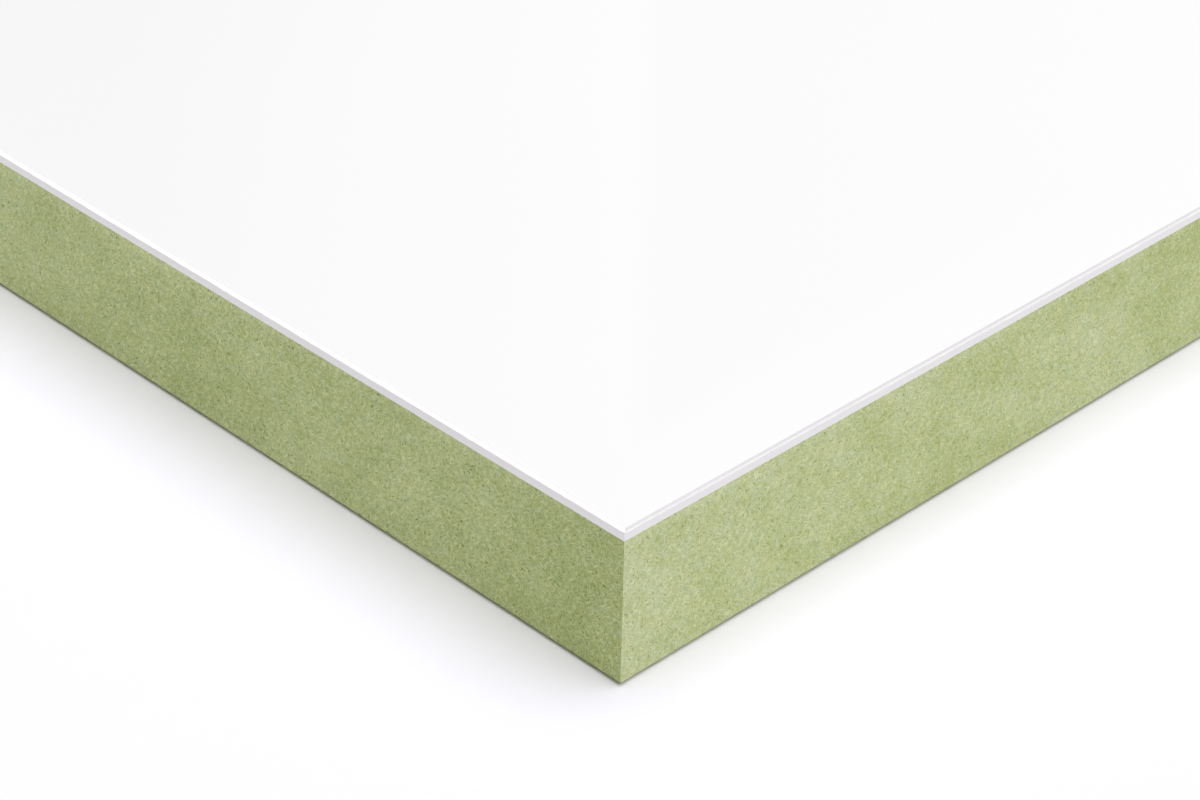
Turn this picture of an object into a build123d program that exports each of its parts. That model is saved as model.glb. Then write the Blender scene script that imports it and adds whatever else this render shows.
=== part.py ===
from build123d import *

import os

# High gloss board, as a full stock sheet: a green moisture resistant MDF core with a white
# acrylic sheet bonded to its upper face and trimmed flush with the sawn edges.
# Millimetres. The board lies flat with the gloss side up: X runs along its length, Y across its
# width and Z up from the middle of the face that it rests on.

# Stock size of the sheet
board_length = 2440.0
board_width = 1220.0

# The two layers
core_thickness = 18.0
sheet_thickness = 1.25

# Flats at 45 degrees that take off the sharp arrises, measured along each face
gloss_arris = 0.3
lower_arris = 0.6


def layer(thickness, height):
    """One layer of the board: the sheet outline, raised from the given height."""
    outline = Pos(0, 0, height) * Rectangle(board_length, board_width)
    return extrude(outline, thickness)


def make_mdf_core():
    """The core, with its lower arris broken all round so that it doesn't chip when it is slid."""
    sawn = layer(core_thickness, 0)
    underside = sawn.faces().sort_by(Axis.Z)[0]
    return chamfer(underside.edges(), lower_arris)


def make_gloss_sheet():
    """The gloss sheet on the core, with the sharp edge of its show face broken all round."""
    trimmed = layer(sheet_thickness, core_thickness)
    show_face = trimmed.faces().sort_by(Axis.Z)[-1]
    return chamfer(show_face.edges(), gloss_arris)


os.makedirs("parts", exist_ok=True)
export_step(make_mdf_core(), "parts/mdf_core.step")
export_step(make_gloss_sheet(), "parts/gloss_sheet.step")
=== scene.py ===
import math

import bmesh
import bpy
from mathutils import Matrix, Vector


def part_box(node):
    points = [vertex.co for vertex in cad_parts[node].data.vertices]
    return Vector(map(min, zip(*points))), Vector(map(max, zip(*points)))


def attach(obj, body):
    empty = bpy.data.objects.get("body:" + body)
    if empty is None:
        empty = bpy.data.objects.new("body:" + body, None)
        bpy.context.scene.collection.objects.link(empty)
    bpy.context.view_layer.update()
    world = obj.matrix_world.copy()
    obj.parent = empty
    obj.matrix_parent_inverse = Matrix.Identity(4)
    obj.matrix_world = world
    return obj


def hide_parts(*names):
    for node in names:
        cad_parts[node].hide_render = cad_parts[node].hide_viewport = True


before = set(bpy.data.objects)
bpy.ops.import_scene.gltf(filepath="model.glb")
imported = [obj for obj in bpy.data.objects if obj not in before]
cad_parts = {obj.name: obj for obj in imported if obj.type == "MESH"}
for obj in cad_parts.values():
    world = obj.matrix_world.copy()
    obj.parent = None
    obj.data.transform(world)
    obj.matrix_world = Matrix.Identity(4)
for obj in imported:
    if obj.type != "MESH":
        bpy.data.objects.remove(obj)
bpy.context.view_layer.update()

# The core: a board of green moisture resistant MDF, which is wood fibre dyed green and hot pressed
# with resin. It is sawn square to size, so its four edges show the cut fibres, and its underside is
# sanded smooth. Its lower arris is broken all round, and its upright corners are just eased.
MM = 0.001
LOWER_ARRIS = 0.6 * MM
EASED_CORNER = 0.06 * MM
TOUCHING = 0.01 * MM
core_low, core_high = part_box("mdf_core")


def box_of(node):
    """A mesh of the box that a layer of the board fills."""
    low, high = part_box(node)
    mesh = bmesh.new()
    place = Matrix.Translation((low + high) / 2) @ Matrix.Diagonal((*(high - low), 1.0))
    bmesh.ops.create_cube(mesh, size=1.0, matrix=place)
    return mesh


def level_edges(mesh, height):
    """The edges that lie level at one height."""
    return [edge for edge in mesh.edges if all(abs(v.co.z - height) < TOUCHING for v in edge.verts)]


def bevel(mesh, edges, width, segments):
    """Takes off the given edges by the same width along both of their faces."""
    bmesh.ops.bevel(mesh, geom=edges, offset=width, offset_type="OFFSET", affect="EDGES",
                    segments=segments, profile=0.5, material=-1)


def finish_piece(name, mesh, materials, node):
    """Makes the piece, in place of the CAD node that it stands for."""
    data = bpy.data.meshes.new(name)
    mesh.to_mesh(data)
    mesh.free()
    for material in materials:
        data.materials.append(material)
    piece = bpy.data.objects.new(name, data)
    bpy.context.collection.objects.link(piece)
    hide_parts(node)
    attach(piece, "root")


def linear(hex_colour):
    """An sRGB hex colour as the linear colour that a socket takes."""
    parts = [int(hex_colour[i:i + 2], 16) / 255 for i in (1, 3, 5)]
    return [c / 12.92 if c <= 0.04045 else ((c + 0.055) / 1.055) ** 2.4 for c in parts] + [1.0]


# Sockets that share a name with others go by number. Those of a range and of a noise are set together.
MIX_FACTOR, MIX_COLOUR_FROM, MIX_COLOUR_TO, MIX_COLOUR = 0, 6, 7, 2
RANGE = ("From Min", "From Max", "To Min", "To Max")
NOISE = ("Scale", "Detail", "Roughness")


def add_node(tree, kind, inputs, out=0, **settings):
    """Adds a node with its settings and links, and gives one of its outputs to link on from.
    Sockets that are named together take their values in the same order."""
    node = tree.nodes.new("ShaderNode" + kind)
    for name, value in settings.items():
        setattr(node, name, value)
    for name, value in inputs.items():
        pairs = zip(name, value) if isinstance(name, tuple) else ((name, value),)
        for socket, source in pairs:
            if isinstance(source, bpy.types.NodeSocket):
                tree.links.new(source, node.inputs[socket])
            else:
                node.inputs[socket].default_value = source
    return node.outputs[out] if node.outputs else None


def new_material(name):
    """An empty material and its node tree."""
    material = bpy.data.materials.new(name)
    material.use_nodes = True
    material.node_tree.nodes.clear()
    return material, material.node_tree


# The two ways that a pattern is laid out along. On the edges the second leans a little, so that a
# pattern isn't mirrored at a corner.
ALONG_EDGES = ((1.0, 1.0, 0.0), (-0.2, 0.2, 1.0))
ALONG_FACE = ((1.0, 0.0, 0.0), (0.0, 1.0, 0.0))


def places(tree, ways):
    """Where a place lies along two ways, and its height, in mm from the middle of the underside."""
    place = add_node(tree, "TexCoord", {}, "Object")
    mm = add_node(tree, "VectorMath", {0: place, "Scale": 1 / MM}, operation="SCALE")
    along = add_node(tree, "VectorMath", {0: mm, 1: ways[0]}, "Value", operation="DOT_PRODUCT")
    across = add_node(tree, "VectorMath", {0: mm, 1: ways[1]}, "Value", operation="DOT_PRODUCT")
    flat = add_node(tree, "CombineXYZ", {"X": along, "Y": across})
    return flat, add_node(tree, "SeparateXYZ", {0: mm}, "Z")


# The lays of fibre, each with its turn in degrees and the length and width of its strands in mm. A
# single fibre is about 0.04 mm thick, too fine to show, so the strands are drawn as bundles four times
# as thick. The sanded face has the long scratches of the belt instead.
LONG_EDGE_LAYS = ((28.0, 1.05, 0.165), (84.0, 0.90, 0.16), (146.0, 1.00, 0.165))
SHORT_EDGE_LAYS = ((38.0, 1.25, 0.165), (95.0, 0.90, 0.16), (155.0, 1.00, 0.16))
SANDING_LAYS = ((0.0, 60.0, 0.5), (3.0, 40.0, 0.4), (90.0, 0.6, 0.5))
STRAND = (1.0, 0.0, 0.5)
STRAND_TONES = (0.335, 1.075, 0.0, 1.0)
# The curl of the strands, their tufts of yellower and bluer fibre, the clouds of denser fibre and the
# slow changes along the board: one over the size in mm, and how many finer layers, how strong.
CURL = (1 / 1.0, 1.0, 0.5)
TUFT = (1 / 2.0, 3.0, 0.5)
CLOUD = (1 / 6.25, 4.0, 0.6)
SLOW_CHANGE = (1 / 45.0, 1.0, 0.5)
# How far a curl pulls the strands aside, in mm.
CURL_REACH = (0.55, 0.55, 0.0)
TUFT_TINTS = (0.3, 0.7, 0.0, 1.0)
YELLOWER = linear("#FFFCF0")
BLUER = linear("#F9FCFA")
# The press packs the outer layer more tightly, and it is paler. The depths, in mm, where that starts
# and where it is full, and how much paler it gets.
PACKED_FROM, PACKED_FULL, PACKED_PALER = 1.8, 0.4, 0.1
# The saw tears more fibre just under the gloss sheet: the depths, in mm, where that starts and is full.
TORN_FROM, TORN_FULL = 0.4, 0.1
PIT_DARK = linear("#5F6E28")
BARK_BROWN = linear("#9C9054")
# Pits in three sizes, and specks of bark: the cell that holds one, its length and width in mm, the
# share of cells that have one, how strong its colour is, how many more the saw tears, and the colour.
FLECKS = (
    (0.50, 0.30, 0.11, 0.75, 0.40, 0.00, PIT_DARK),
    (0.95, 0.42, 0.15, 0.60, 0.82, 0.25, PIT_DARK),
    (1.70, 0.34, 0.18, 0.50, 0.85, 0.00, PIT_DARK),
    (4.00, 0.50, 0.32, 0.12, 0.80, 0.00, BARK_BROWN))
# A fleck fades out around its edge, and each kind lies this far, in mm, from where the last one does.
FLECK_EDGE = (1.15, 0.6, 0.0, 1.0)
APART = 17.3
MDF_ROUGHNESS = 0.85
MDF_IOR = 1.5
# Cut fibre ends stand up as a faint fuzz.
FUZZ = 0.1
FUZZ_ROUGHNESS = 0.5


def green_mdf(name, ways, lays, pale, deep, cloudy, slowly, pitted, depth):
    """Matt and fibrous: short curled strands, dark pits and faint tufts of yellower and bluer green."""
    material, tree = new_material(name)
    flat, height = places(tree, ways)
    drift = add_node(tree, "TexNoise", {"Vector": flat, NOISE: CURL}, "Color", noise_dimensions="2D")
    curled = add_node(tree, "VectorMath", {0: drift, 1: CURL_REACH, 2: flat}, operation="MULTIPLY_ADD")
    # The palest strand at each place is the one on top.
    tone = 0.0
    for turn, length, width in lays:
        laid = add_node(tree, "VectorRotate", {"Vector": curled, "Angle": math.radians(-turn)},
                        rotation_type="Z_AXIS")
        size = (1 / length, 1 / width, 0.0)
        drawn = add_node(tree, "VectorMath", {0: laid, 1: size}, operation="MULTIPLY")
        strands = add_node(tree, "TexNoise", {"Vector": drawn, NOISE: STRAND}, "Fac",
                           noise_dimensions="2D")
        tone = add_node(tree, "Math", {0: tone, 1: strands}, operation="MAXIMUM")
    relief = tone
    tone = add_node(tree, "MapRange", {"Value": tone, RANGE: STRAND_TONES}, clamp=False)
    # Clouds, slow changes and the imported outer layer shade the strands.
    for shade, pattern in ((cloudy, CLOUD), (slowly, SLOW_CHANGE)):
        patch = add_node(tree, "TexNoise", {"Vector": flat, NOISE: pattern}, "Fac", noise_dimensions="2D")
        tone = add_node(tree, "Math", {0: patch, 1: shade, 2: tone}, operation="MULTIPLY_ADD")
    half = (core_high.z - core_low.z) / 2 / MM
    from_middle = add_node(tree, "Math", {0: height, 1: half}, operation="SUBTRACT")
    from_middle = add_node(tree, "Math", {0: from_middle}, operation="ABSOLUTE")
    packed = add_node(tree, "MapRange", {
        "Value": from_middle, RANGE: (half - PACKED_FROM, half - PACKED_FULL, 0.0, PACKED_PALER)})
    tone = add_node(tree, "Math", {0: tone, 1: packed}, operation="ADD")
    tone = add_node(tree, "Math", {0: tone, 1: (cloudy + slowly) / 2}, operation="SUBTRACT")
    colour = add_node(tree, "Mix", {
        MIX_FACTOR: tone, MIX_COLOUR_FROM: linear(deep), MIX_COLOUR_TO: linear(pale)},
        MIX_COLOUR, data_type="RGBA", clamp_factor=False)
    tuft = add_node(tree, "TexNoise", {"Vector": flat, NOISE: TUFT}, "Fac", noise_dimensions="2D")
    tuft = add_node(tree, "MapRange", {"Value": tuft, RANGE: TUFT_TINTS})
    tint = add_node(tree, "Mix", {
        MIX_FACTOR: tuft, MIX_COLOUR_FROM: YELLOWER, MIX_COLOUR_TO: BLUER},
        MIX_COLOUR, data_type="RGBA")
    colour = add_node(tree, "Mix", {
        MIX_FACTOR: 1.0, MIX_COLOUR_FROM: colour, MIX_COLOUR_TO: tint},
        MIX_COLOUR, data_type="RGBA", blend_type="MULTIPLY")
    # Each fleck is an oval, turned at random about the middle of its cell, and sunk into the relief.
    torn = add_node(tree, "MapRange", {
        "Value": height, RANGE: (half * 2 - TORN_FROM, half * 2 - TORN_FULL, 0.0, 1.0)})
    for count, (cell, length, width, share, strength, more, fleck_colour) in enumerate(FLECKS, 1):
        move = (APART * count, -APART * count, 0.0)
        moved = add_node(tree, "VectorMath", {0: curled, 1: move}, operation="ADD")
        middle = add_node(tree, "TexVoronoi", {"Vector": moved, "Scale": 1 / cell}, "Position",
                          voronoi_dimensions="2D")
        chances = add_node(tree, "SeparateColor", {0: middle.node.outputs["Color"]}).node.outputs
        around = add_node(tree, "VectorMath", {0: moved, 1: middle}, operation="SUBTRACT")
        angle = add_node(tree, "Math", {0: chances[0], 1: math.pi}, operation="MULTIPLY")
        turned = add_node(tree, "VectorRotate", {"Vector": around, "Angle": angle}, rotation_type="Z_AXIS")
        size = (2 / length, 2 / width, 0.0)
        sized = add_node(tree, "VectorMath", {0: turned, 1: size}, operation="MULTIPLY")
        reach = add_node(tree, "VectorMath", {0: sized}, "Value", operation="LENGTH")
        cover = add_node(tree, "MapRange", {"Value": reach, RANGE: FLECK_EDGE})
        chance = add_node(tree, "Math", {0: torn, 1: more, 2: chances[1]}, operation="MULTIPLY_ADD")
        chance = add_node(tree, "MapRange", {
            "Value": chance, RANGE: (1 - share, 1.0, 0.0, strength * pitted)})
        fleck = add_node(tree, "Math", {0: cover, 1: chance}, operation="MULTIPLY")
        colour = add_node(tree, "Mix", {
            MIX_FACTOR: fleck, MIX_COLOUR_FROM: colour, MIX_COLOUR_TO: fleck_colour},
            MIX_COLOUR, data_type="RGBA")
        relief = add_node(tree, "Math", {0: relief, 1: fleck}, operation="SUBTRACT")
    relief = add_node(tree, "Bump", {"Height": relief, "Strength": 1.0, "Distance": depth}, "Normal")
    surface = add_node(tree, "BsdfPrincipled", {
        "Base Color": colour, "Roughness": MDF_ROUGHNESS, "IOR": MDF_IOR, "Normal": relief,
        "Sheen Weight": FUZZ, "Sheen Roughness": FUZZ_ROUGHNESS})
    add_node(tree, "OutputMaterial", {"Surface": surface})
    return material


core = box_of("mdf_core")
bevel(core, level_edges(core, core_low.z), LOWER_ARRIS, segments=1)
upright = [edge for edge in core.edges
           if abs(edge.verts[0].co.z - edge.verts[1].co.z) > LOWER_ARRIS * 2]
bevel(core, upright, EASED_CORNER, segments=2)
LONG_EDGE, SHORT_EDGE, SANDED = 0, 1, 2
LEVEL_NORMAL = 0.9
for face in core.faces:
    across = SHORT_EDGE if abs(face.normal.x) > abs(face.normal.y) else LONG_EDGE
    face.material_index = SANDED if abs(face.normal.z) > LEVEL_NORMAL else across
# The long edges are a deeper green with more pits, and the short ones cloudier. The short ones are also
# painted paler: a painted sheen, as if more light grazed them. The belt has left the underside smoother.
SAWN_RELIEF = 0.02 * MM
SANDED_RELIEF = 0.005 * MM
core_materials = [
    green_mdf("sawn_green_mdf", ALONG_EDGES, LONG_EDGE_LAYS, pale="#DAE2AE", deep="#91A058",
              cloudy=0.45, slowly=-0.5, pitted=1.15, depth=SAWN_RELIEF),
    # The paler greens of the short edges carry a painted sheen.
    green_mdf("sawn_green_mdf_ends_painted_sheen", ALONG_EDGES, SHORT_EDGE_LAYS, pale="#E2E8C2", deep="#A9B76B",
              cloudy=0.65, slowly=0.5, pitted=0.75, depth=SAWN_RELIEF),
    green_mdf("sanded_green_mdf", ALONG_FACE, SANDING_LAYS, pale="#D2DAAD", deep="#B2BD83",
              cloudy=0.45, slowly=0.5, pitted=0.5, depth=SANDED_RELIEF)]
finish_piece("core_board", core, core_materials, "mdf_core")

# The gloss sheet: white acrylic, extruded and polished on its show face, glued to the core and
# trimmed flush with it. A trimming cutter has taken the sharp edge off its show face.
GLOSS_ARRIS = 0.3 * MM
CREASE = 0.05 * MM
sheet_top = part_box("gloss_sheet")[1].z
ACRYLIC_IOR = 1.49
ACRYLIC_WHITE = linear("#F4F4F4")
# The waves of a rolled sheet, and the patches where it was wiped: one over the size in mm, and how many
# finer layers, how strong.
WAVES = (1 / 16.7, 1.0, 0.5)
WAVE_DEPTH = 0.003 * MM
WIPED = (1 / 100.0, 3.0, 0.5)
POLISH = (0.3, 0.7, 0.02, 0.04)
# One mark of the cutter is 0.625 mm along the edge and 5 mm across it. A smooth mark has 0.7 of the
# roughness of the whole edge, and a rough one 1.4.
CUTTER_MARK = (1 / 0.625, 1 / 5.0, 0.0)
RIPPLE = (1.0, 2.0, 0.5)
RIPPLE_LOW, RIPPLE_HIGH = 0.3, 0.7
SMOOTH_MARK, ROUGH_MARK = 0.7, 1.4
MARK_SHADE = 0.3


def polished_acrylic(name):
    """Mirror smooth, with the long faint waves of a rolled sheet."""
    material, tree = new_material(name)
    flat = places(tree, ALONG_FACE)[0]
    waves = add_node(tree, "TexNoise", {"Vector": flat, NOISE: WAVES}, "Fac", noise_dimensions="2D")
    wavy = add_node(tree, "Bump", {"Height": waves, "Strength": 1.0, "Distance": WAVE_DEPTH}, "Normal")
    wiped = add_node(tree, "TexNoise", {"Vector": flat, NOISE: WIPED}, "Fac", noise_dimensions="2D")
    polish = add_node(tree, "MapRange", {"Value": wiped, RANGE: POLISH})
    surface = add_node(tree, "BsdfPrincipled", {
        "Base Color": ACRYLIC_WHITE, "Roughness": polish, "IOR": ACRYLIC_IOR, "Normal": wavy})
    add_node(tree, "OutputMaterial", {"Surface": surface})
    return material


def cut_acrylic(name, low_colour, painted_top_and_mark_colour, roughness):
    """Cut and not polished: a soft shine with the faint upright ripple that the cutter leaves."""
    material, tree = new_material(name)
    flat, height = places(tree, ALONG_EDGES)
    stroke = add_node(tree, "VectorMath", {0: flat, 1: CUTTER_MARK}, operation="MULTIPLY")
    ripple = add_node(tree, "TexNoise", {"Vector": stroke, NOISE: RIPPLE}, "Fac", noise_dimensions="2D")
    marked = add_node(tree, "MapRange", {
        "Value": ripple,
        RANGE: (RIPPLE_LOW, RIPPLE_HIGH, roughness * SMOOTH_MARK, roughness * ROUGH_MARK)})
    # The colour darkens towards the top of the broken arris, as a painted dark reflection line, and
    # changes a little with each mark.
    top = (sheet_top - core_low.z) / MM
    painted_top_shade_and_marks = add_node(tree, "MapRange", {"Value": height, RANGE: (top - GLOSS_ARRIS / MM, top, 0.0, 1.0)})
    painted_top_shade_and_marks = add_node(tree, "Math", {0: ripple, 1: MARK_SHADE, 2: painted_top_shade_and_marks}, operation="MULTIPLY_ADD")
    colour = add_node(tree, "Mix", {
        MIX_FACTOR: painted_top_shade_and_marks, MIX_COLOUR_FROM: linear(low_colour), MIX_COLOUR_TO: linear(painted_top_and_mark_colour)},
        MIX_COLOUR, data_type="RGBA")
    surface = add_node(tree, "BsdfPrincipled", {
        "Base Color": colour, "Roughness": marked, "IOR": ACRYLIC_IOR})
    add_node(tree, "OutputMaterial", {"Surface": surface})
    return material


sheet = box_of("gloss_sheet")
bevel(sheet, level_edges(sheet, sheet_top), GLOSS_ARRIS, segments=1)
creases = level_edges(sheet, sheet_top) + level_edges(sheet, sheet_top - GLOSS_ARRIS)
bevel(sheet, creases, CREASE, segments=3)
POLISHED, TRIMMED, BROKEN = 0, 1, 2
LEVEL, SLOPING = 0.999, 0.001
for face in sheet.faces:
    side = BROKEN if face.normal.z > SLOPING else TRIMMED
    face.material_index = POLISHED if face.normal.z > LEVEL else side
sheet_materials = [
    polished_acrylic("polished_white_acrylic"),
    cut_acrylic("trimmed_white_acrylic", low_colour="#F9F7F5", painted_top_and_mark_colour="#EDEBE9", roughness=0.15),
    # The broken arris is painted darker than the trimmed edge, most of all at its top: painted shade
    # standing in for the dark line that the arris mirrors.
    cut_acrylic("broken_arris_acrylic_painted_dark_line", low_colour="#F4F2F2", painted_top_and_mark_colour="#DCDADB", roughness=0.08)]
finish_piece("gloss_face_sheet", sheet, sheet_materials, "gloss_sheet")

# The floor: plain white paper that the board lies on, rolled out far past it on all sides so that no
# edge of it shows. Paper is matt, so it has no shine and takes the soft shadow of the board.
FLOOR_SIDE = 60.0
PAPER_WHITE = linear("#F7F5FE")
floor_mesh = bmesh.new()
bmesh.ops.create_grid(floor_mesh, x_segments=1, y_segments=1, size=FLOOR_SIDE / 2)
floor_data = bpy.data.meshes.new("floor")
floor_mesh.to_mesh(floor_data)
floor_mesh.free()
floor = bpy.data.objects.new("floor", floor_data)
bpy.context.collection.objects.link(floor)
floor_material, floor_tree = new_material("white_paper")
floor_surface = add_node(floor_tree, "BsdfDiffuse", {"Color": PAPER_WHITE})
add_node(floor_tree, "OutputMaterial", {"Surface": floor_surface})
floor_data.materials.append(floor_material)

# The studio: one large soft lamp overhead and little light from the sides. What a gloss face mirrors is
# a pale room, with a soft edged panel and a low wall behind the board, a softbox to its left and a low
# strip light to its right. Bearings run from the back of the board to its left, in degrees.
MIX_FROM, MIX_TO = 2, 3
AMBIENT = 0.17
SEEN_WHITE = 1.0
# Each range has two bearings or heights, and the brightness, or the share of it, at each.
PANEL = (44.0, 54.7, 1.07, 0.55)
PANEL_SIDE = (43.7, 44.3, 0.0, 1.0)
WALL = (44.0, 34.4, 0.87, 1.05)
WALL_SLANT = -0.543
WALL_HEAD = (9.88, 10.38, 0.0, 1.0)
ABOVE_WALL = 1.1
SOFTBOX = 11.0
SOFTBOX_SIDES = ((61.0, 67.0, 0.0, 1.0), (151.0, 145.0, 0.0, 1.0))
SOFTBOX_HEIGHTS = ((18.0, 22.0, 0.0, 1.0), (62.0, 58.0, 0.0, 1.0))
STRIP = 7.0
STRIP_SIDES = ((-65.0, -61.0, 0.0, 1.0), (-31.0, -35.0, 0.0, 1.0))
STRIP_HEIGHTS = ((18.0, 12.0, 0.0, 1.0),)
LAMPS = ((SOFTBOX, SOFTBOX_SIDES, SOFTBOX_HEIGHTS), (STRIP, STRIP_SIDES, STRIP_HEIGHTS))

world = bpy.data.worlds.new("studio")
bpy.context.scene.world = world
world.use_nodes = True
studio = world.node_tree
studio.nodes.clear()
way = add_node(studio, "TexCoord", {}, "Generated")
parts = add_node(studio, "SeparateXYZ", {0: way}).node.outputs
leftward = add_node(studio, "Math", {0: parts["X"], 1: -1.0}, operation="MULTIPLY")
bearing = add_node(studio, "Math", {0: leftward, 1: parts["Y"]}, operation="ARCTAN2")
bearing = add_node(studio, "Math", {0: bearing}, operation="DEGREES")
height = add_node(studio, "Math", {0: parts["Z"]}, operation="ARCSINE")
height = add_node(studio, "Math", {0: height}, operation="DEGREES")
panel = add_node(studio, "MapRange", {"Value": bearing, RANGE: PANEL})
wall = add_node(studio, "MapRange", {"Value": bearing, RANGE: WALL})
slant = add_node(studio, "Math", {0: bearing, 1: WALL_SLANT, 2: height}, operation="MULTIPLY_ADD")
above = add_node(studio, "MapRange", {"Value": slant, RANGE: WALL_HEAD})
wall = add_node(studio, "Mix", {MIX_FACTOR: above, MIX_FROM: wall, MIX_TO: ABOVE_WALL})
beside = add_node(studio, "MapRange", {"Value": bearing, RANGE: PANEL_SIDE})
mirrored = add_node(studio, "Mix", {MIX_FACTOR: beside, MIX_FROM: wall, MIX_TO: panel})
for glow, sides, heights in LAMPS:
    for measure, edges in ((bearing, sides), (height, heights)):
        for edge in edges:
            fade = add_node(studio, "MapRange", {"Value": measure, RANGE: edge})
            glow = add_node(studio, "Math", {0: glow, 1: fade}, operation="MULTIPLY")
    mirrored = add_node(studio, "Math", {0: mirrored, 1: glow}, operation="ADD")
ray = add_node(studio, "LightPath", {}).node.outputs
seen = add_node(studio, "Math", {0: ray["Is Camera Ray"], 1: ray["Is Transmission Ray"]},
                operation="MAXIMUM")
strength = add_node(studio, "Mix", {
    MIX_FACTOR: ray["Is Glossy Ray"], MIX_FROM: AMBIENT, MIX_TO: mirrored})
strength = add_node(studio, "Mix", {MIX_FACTOR: seen, MIX_FROM: strength, MIX_TO: SEEN_WHITE})
room = add_node(studio, "Background", {"Color": linear("#FFFFFF"), "Strength": strength})
add_node(studio, "OutputWorld", {"Surface": room})

KEY_FROM = Vector((0.18, 0.03, 0.983))
KEY_STRENGTH = 2.9
KEY_SPREAD = math.radians(76)
key_lamp = bpy.data.lights.new("key", "SUN")
key_lamp.energy = KEY_STRENGTH
key_lamp.angle = KEY_SPREAD
key = bpy.data.objects.new("key", key_lamp)
key.rotation_euler = KEY_FROM.to_track_quat("Z", "Y").to_euler()
bpy.context.collection.objects.link(key)

# The camera looks down on the corner where the front and right edges meet, from close by, with a
# long lens. Its place is given by where the foot of that corner lies in front of it.
VIEW_AZIMUTH = math.radians(44.88)
VIEW_ELEVATION = math.radians(33.28)
VIEW_ROLL = math.radians(1.25)
LENS = 97.60
SENSOR_WIDTH = 36.0
NEAREST = 10 * MM
FARTHEST = 100.0
CORNER_RIGHT = 2.03 * MM
CORNER_BELOW = 28.78 * MM
CORNER_AHEAD = 325.4 * MM

camera_data = bpy.data.cameras.new("camera")
camera_data.sensor_width = SENSOR_WIDTH
camera_data.lens = LENS
camera_data.clip_start = NEAREST
camera_data.clip_end = FARTHEST
camera = bpy.data.objects.new("camera", camera_data)
turn = (Matrix.Rotation(VIEW_AZIMUTH, 4, "Z") @ Matrix.Rotation(math.pi / 2 - VIEW_ELEVATION, 4, "X")
        @ Matrix.Rotation(VIEW_ROLL, 4, "Z"))
near_corner = Vector((core_high.x, core_low.y, core_low.z))
corner_from_camera = turn @ Vector((CORNER_RIGHT, -CORNER_BELOW, -CORNER_AHEAD))
camera.matrix_world = Matrix.Translation(near_corner - corner_from_camera) @ turn
bpy.context.collection.objects.link(camera)
bpy.context.scene.camera = camera
bpy.context.scene.view_settings.view_transform = "Standard"
